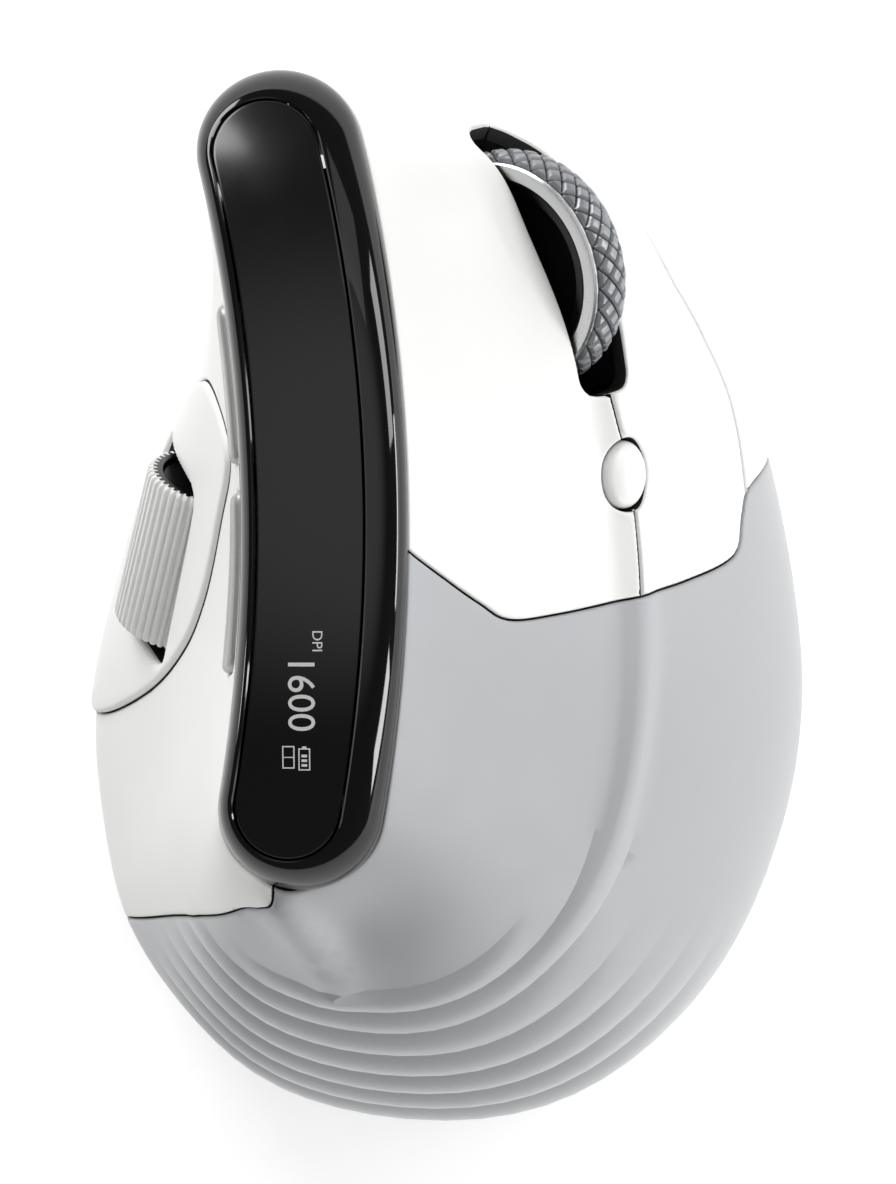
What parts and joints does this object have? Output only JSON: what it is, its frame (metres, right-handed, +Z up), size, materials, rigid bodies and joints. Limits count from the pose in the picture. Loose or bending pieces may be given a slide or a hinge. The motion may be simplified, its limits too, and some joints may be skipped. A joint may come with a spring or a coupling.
{
  "type": "computer mouse",
  "caption": "Right-handed vertical wireless mouse: ridge-shaped body, curved display band, scroll wheel, thumb roller, hinged keys, side buttons.",
  "frame": {"origin": "centre of the bounding box's footprint, on the desk under the feet", "axes": "+Z up, +Y the way the fingers point, +X to the finger side"},
  "size_m": [0.0786, 0.1138, 0.0703],
  "materials": {
    "aluminium": "satin turned",
    "black_gloss": "piano gloss",
    "black_matt": "fine matt",
    "board": "lacquered laminate",
    "cell": "wrapped cell",
    "grey_button": "satin silver paint",
    "grey_soft": "soft-touch coating",
    "lens": "clear moulded",
    "ribbon": "flexible film",
    "rubber": "ribbed moulded",
    "skate": "low-friction sheet",
    "steel": "turned",
    "white_key": "satin moulded",
    "white_satin": "satin moulded",
    "window": "tinted clear"
  },
  "bodies": {
    "shell": {"back_switch": "black_matt", "base_plate": "black_matt", "base_screw_1": "steel", "base_screw_2": "steel", "base_screw_3": "steel", "base_screw_4": "steel", "battery": "cell", "battery_lead": "rubber", "battery_tray": "black_matt", "display_bezel": "black_gloss", "display_module": "black_matt", "display_ribbon": "ribbon", "display_window": "window", "dpi_switch": "black_matt", "forward_switch": "black_matt", "front_foot": "skate", "key_board": "board", "left_switch": "black_matt", "main_board": "board", "middle_switch": "black_matt", "optical_sensor": "black_matt", "rear_cover": "grey_soft", "rear_foot": "skate", "ridge_frame": "black_matt", "right_switch": "black_matt", "sensor_foot": "skate", "sensor_lens": "lens", "side_board": "board", "side_skirt": "white_satin", "thumb_encoder": "black_matt", "thumb_panel": "white_satin", "thumb_plate": "white_satin", "thumb_saddle_front": "black_matt", "thumb_saddle_rear": "black_matt", "usb_socket": "steel", "usb_tongue": "black_matt", "wheel_encoder": "black_matt"},
    "left_key": {"left_key": "white_key"},
    "right_key": {"right_key": "white_key"},
    "wheel_carrier": {"wheel_carrier": "black_matt"},
    "wheel": {"wheel_tyre": "steel", "wheel_hub": "black_matt", "wheel_ring_left": "aluminium", "wheel_ring_right": "aluminium", "wheel_axle": "steel"},
    "dpi_button": {"dpi_button": "white_key"},
    "forward_button": {"forward_button": "grey_button"},
    "back_button": {"back_button": "grey_button"},
    "thumb_roller": {"thumb_roller": "rubber", "thumb_axle": "steel"},
    "power_switch": {"power_switch": "rubber"},
    "pairing_button": {"pairing_button": "rubber"}
  },
  "joints": [
    {"name": "left_key_press", "type": "hinge", "parent": "shell", "child": "left_key", "pos_m": [0.00685, -0.00015, 0.05137], "axis": [-0.7071, 0, 0.7071], "range_deg": [0, 0.5], "stiffness_Nm_per_rad": 3, "springref_deg": -0.46},
    {"name": "right_key_press", "type": "hinge", "parent": "shell", "child": "right_key", "pos_m": [0.02374, 0.00332, 0.03554], "axis": [-0.45, 0, 0.893], "range_deg": [0, 0.5], "stiffness_Nm_per_rad": 3, "springref_deg": -0.46},
    {"name": "wheel_click", "type": "slide", "parent": "shell", "child": "wheel_carrier", "axis": [-0.7101, -0.2885, -0.6423], "range_m": [0, 0.0007], "stiffness_N_per_m": 1700, "springref_m": -0.0006},
    {"name": "wheel_turn", "type": "hinge", "parent": "wheel_carrier", "child": "wheel", "pos_m": [0.00779, 0.03589, 0.04207], "axis": [-0.5984, -0.2332, 0.7665], "continuous": true},
    {"name": "dpi_press", "type": "slide", "parent": "shell", "child": "dpi_button", "axis": [-0.7106, 0.031, -0.7029], "range_m": [0, 0.0006], "stiffness_N_per_m": 1500, "springref_m": -0.0004},
    {"name": "forward_press", "type": "slide", "parent": "shell", "child": "forward_button", "axis": [0.9908, 0.0885, -0.1027], "range_m": [0, 0.0008], "stiffness_N_per_m": 1200, "springref_m": -0.0005},
    {"name": "back_press", "type": "slide", "parent": "shell", "child": "back_button", "axis": [0.9928, -0.0269, -0.1169], "range_m": [0, 0.0008], "stiffness_N_per_m": 1200, "springref_m": -0.0005},
    {"name": "thumb_roll", "type": "hinge", "parent": "shell", "child": "thumb_roller", "pos_m": [-0.02772, 0.0057, 0.02835], "axis": [0.2208, 0.872, 0.4368], "continuous": true},
    {"name": "power_slide", "type": "slide", "parent": "shell", "child": "power_switch", "axis": [0, 1, 0], "range_m": [0, 0.0024]},
    {"name": "pairing_press", "type": "slide", "parent": "shell", "child": "pairing_button", "axis": [0, 0, 1], "range_m": [0, 0.0005], "stiffness_N_per_m": 800, "springref_m": -0.0005}
  ]
}
